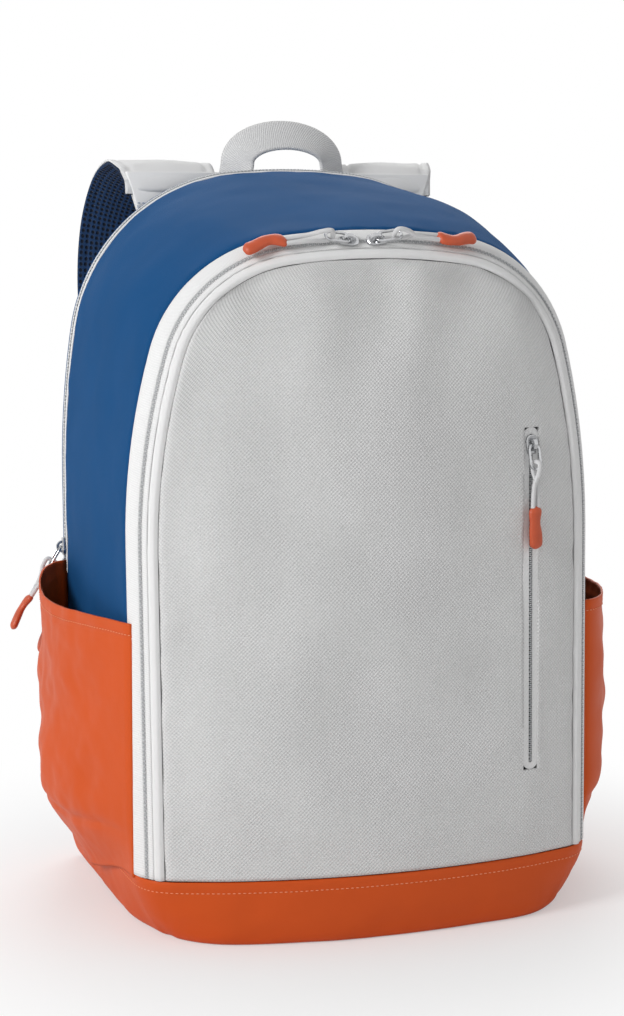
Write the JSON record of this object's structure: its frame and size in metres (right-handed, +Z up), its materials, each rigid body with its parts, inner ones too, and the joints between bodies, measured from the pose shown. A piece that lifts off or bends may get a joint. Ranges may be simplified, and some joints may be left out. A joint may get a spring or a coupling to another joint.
{
  "type": "racket backpack",
  "caption": "Racket backpack with a zipped clamshell front, a slanted pocket zip, two side pockets, a grab handle and padded shoulder straps.",
  "frame": {"origin": "centre of the footprint of the bag body, on the plane it stands on", "axes": "+Z up, -Y towards the front panel, +Y towards the back padding, +X to the right as seen from the front"},
  "size_m": [0.3915, 0.3126, 0.5223],
  "materials": {
    "shell_fabric": "matt woven",
    "base_fabric": "matt woven",
    "stiffener": "matt",
    "lining": "matt woven",
    "zip_tape": "twill",
    "zip_coil": "satin",
    "piping": "twill",
    "panel_fabric": "matt woven",
    "spacer_mesh": "knitted spacer mesh",
    "webbing": "woven webbing",
    "strap_fabric": "matt woven",
    "buckle_plastic": "satin",
    "slider_metal": "satin nickel",
    "pull_cord": "braided",
    "pull_rubber": "matt"
  },
  "bodies": {
    "bag": {"base_panel": "base_fabric", "base_stiffener": "stiffener", "gusset": "shell_fabric", "main_zip_tape_front": "zip_tape", "main_zip_coil": "zip_coil", "main_zip_tape_back": "zip_tape", "rear_gusset": "shell_fabric", "back_panel": "shell_fabric", "compartment_divider": "lining", "front_zip_tape_body": "zip_tape", "side_pocket_left": "base_fabric", "side_pocket_right": "base_fabric", "back_pad_left": "spacer_mesh", "back_pad_right": "spacer_mesh", "lumbar_pad": "spacer_mesh", "strap_yoke": "spacer_mesh", "strap_riser_left": "webbing", "strap_riser_right": "webbing", "strap_anchor_left": "webbing", "strap_anchor_right": "webbing", "main_lower_slider": "slider_metal"},
    "front_flap": {"front_panel": "panel_fabric", "front_piping": "piping", "front_zip_tape_flap": "zip_tape", "front_zip_coil": "zip_coil", "pocket_zip_tape": "zip_tape", "pocket_zip_coil": "zip_coil", "pocket_pouch": "lining"},
    "front_left_slider_body": {"front_left_slider": "slider_metal"},
    "front_right_slider_body": {"front_right_slider": "slider_metal"},
    "pocket_slider_body": {"pocket_slider": "slider_metal"},
    "main_upper_slider_body": {"main_upper_slider": "slider_metal"},
    "front_left_pull": {"front_left_pull_ring": "slider_metal", "front_left_pull_loop": "pull_cord", "front_left_pull_grip": "pull_rubber"},
    "front_right_pull": {"front_right_pull_ring": "slider_metal", "front_right_pull_loop": "pull_cord", "front_right_pull_grip": "pull_rubber"},
    "pocket_pull": {"pocket_pull_ring": "slider_metal", "pocket_pull_loop": "pull_cord", "pocket_pull_grip": "pull_rubber"},
    "main_upper_pull": {"main_upper_pull_ring": "slider_metal", "main_upper_pull_loop": "pull_cord", "main_upper_pull_grip": "pull_rubber"},
    "main_lower_pull": {"main_lower_pull_ring": "slider_metal", "main_lower_pull_loop": "pull_cord", "main_lower_pull_grip": "pull_rubber"},
    "handle": {"grab_handle": "webbing"},
    "strap_left": {"shoulder_strap_left": "strap_fabric", "ladder_lock_left": "buckle_plastic", "adjuster_webbing_left": "webbing"},
    "strap_right": {"shoulder_strap_right": "strap_fabric", "ladder_lock_right": "buckle_plastic", "adjuster_webbing_right": "webbing"}
  },
  "joints": [
    {"name": "front_flap_fold", "type": "hinge", "parent": "bag", "child": "front_flap", "pos_m": [0, -0.1202, 0.042], "axis": [1, 0, 0], "range_deg": [0, 75]},
    {"name": "front_left_slider_travel", "type": "hinge", "parent": "front_flap", "child": "front_left_slider_body", "pos_m": [0, 0.11786, 0.20466], "axis": [0.0003, -0.7224, -0.6915], "range_deg": [0, 7]},
    {"name": "front_right_slider_travel", "type": "hinge", "parent": "front_flap", "child": "front_right_slider_body", "pos_m": [0, 0.11786, 0.20466], "axis": [0.0003, 0.7224, 0.6915], "range_deg": [0, 8]},
    {"name": "pocket_slider_travel", "type": "slide", "parent": "front_flap", "child": "pocket_slider_body", "axis": [0, -0.0314, -0.9995], "range_m": [0, 0.19]},
    {"name": "main_upper_slider_travel", "type": "slide", "parent": "bag", "child": "main_upper_slider_body", "axis": [0, 0, 1], "range_m": [0, 0.045]},
    {"name": "front_left_pull_swing", "type": "hinge", "parent": "front_left_slider_body", "child": "front_left_pull", "pos_m": [-0.01868, -0.1007, 0.4328], "axis": [-0.0028, 0.696, 0.7181], "range_deg": [0, 120]},
    {"name": "front_right_pull_swing", "type": "hinge", "parent": "front_right_slider_body", "child": "front_right_pull", "pos_m": [-0.00152, -0.10108, 0.4332], "axis": [-0.0001, -0.6958, -0.7182], "range_deg": [0, 120]},
    {"name": "pocket_pull_swing", "type": "hinge", "parent": "pocket_slider_body", "child": "pocket_pull", "pos_m": [0.10173, -0.10139, 0.3052], "axis": [-0.972, -0.2349, 0.0074], "range_deg": [0, 120]},
    {"name": "main_upper_pull_swing", "type": "hinge", "parent": "main_upper_slider_body", "child": "main_upper_pull", "pos_m": [-0.1636, 0.106, 0.2225], "axis": [0, 1, 0], "range_deg": [0, 110]},
    {"name": "main_lower_pull_swing", "type": "hinge", "parent": "bag", "child": "main_lower_pull", "pos_m": [-0.1636, 0.106, 0.208], "axis": [0, 1, 0], "range_deg": [0, 8]},
    {"name": "handle_tip", "type": "hinge", "parent": "bag", "child": "handle", "pos_m": [0, 0.116, 0.4807], "axis": [1, 0, 0], "range_deg": [-8, 70]},
    {"name": "strap_left_swing", "type": "hinge", "parent": "bag", "child": "strap_left", "pos_m": [-0.129, 0.126, 0.062], "axis": [0.1199, 0.0329, 0.9922], "range_deg": [-8, 8]},
    {"name": "strap_right_swing", "type": "hinge", "parent": "bag", "child": "strap_right", "pos_m": [0.129, 0.126, 0.062], "axis": [-0.1199, 0.0329, 0.9922], "range_deg": [-8, 8]}
  ]
}
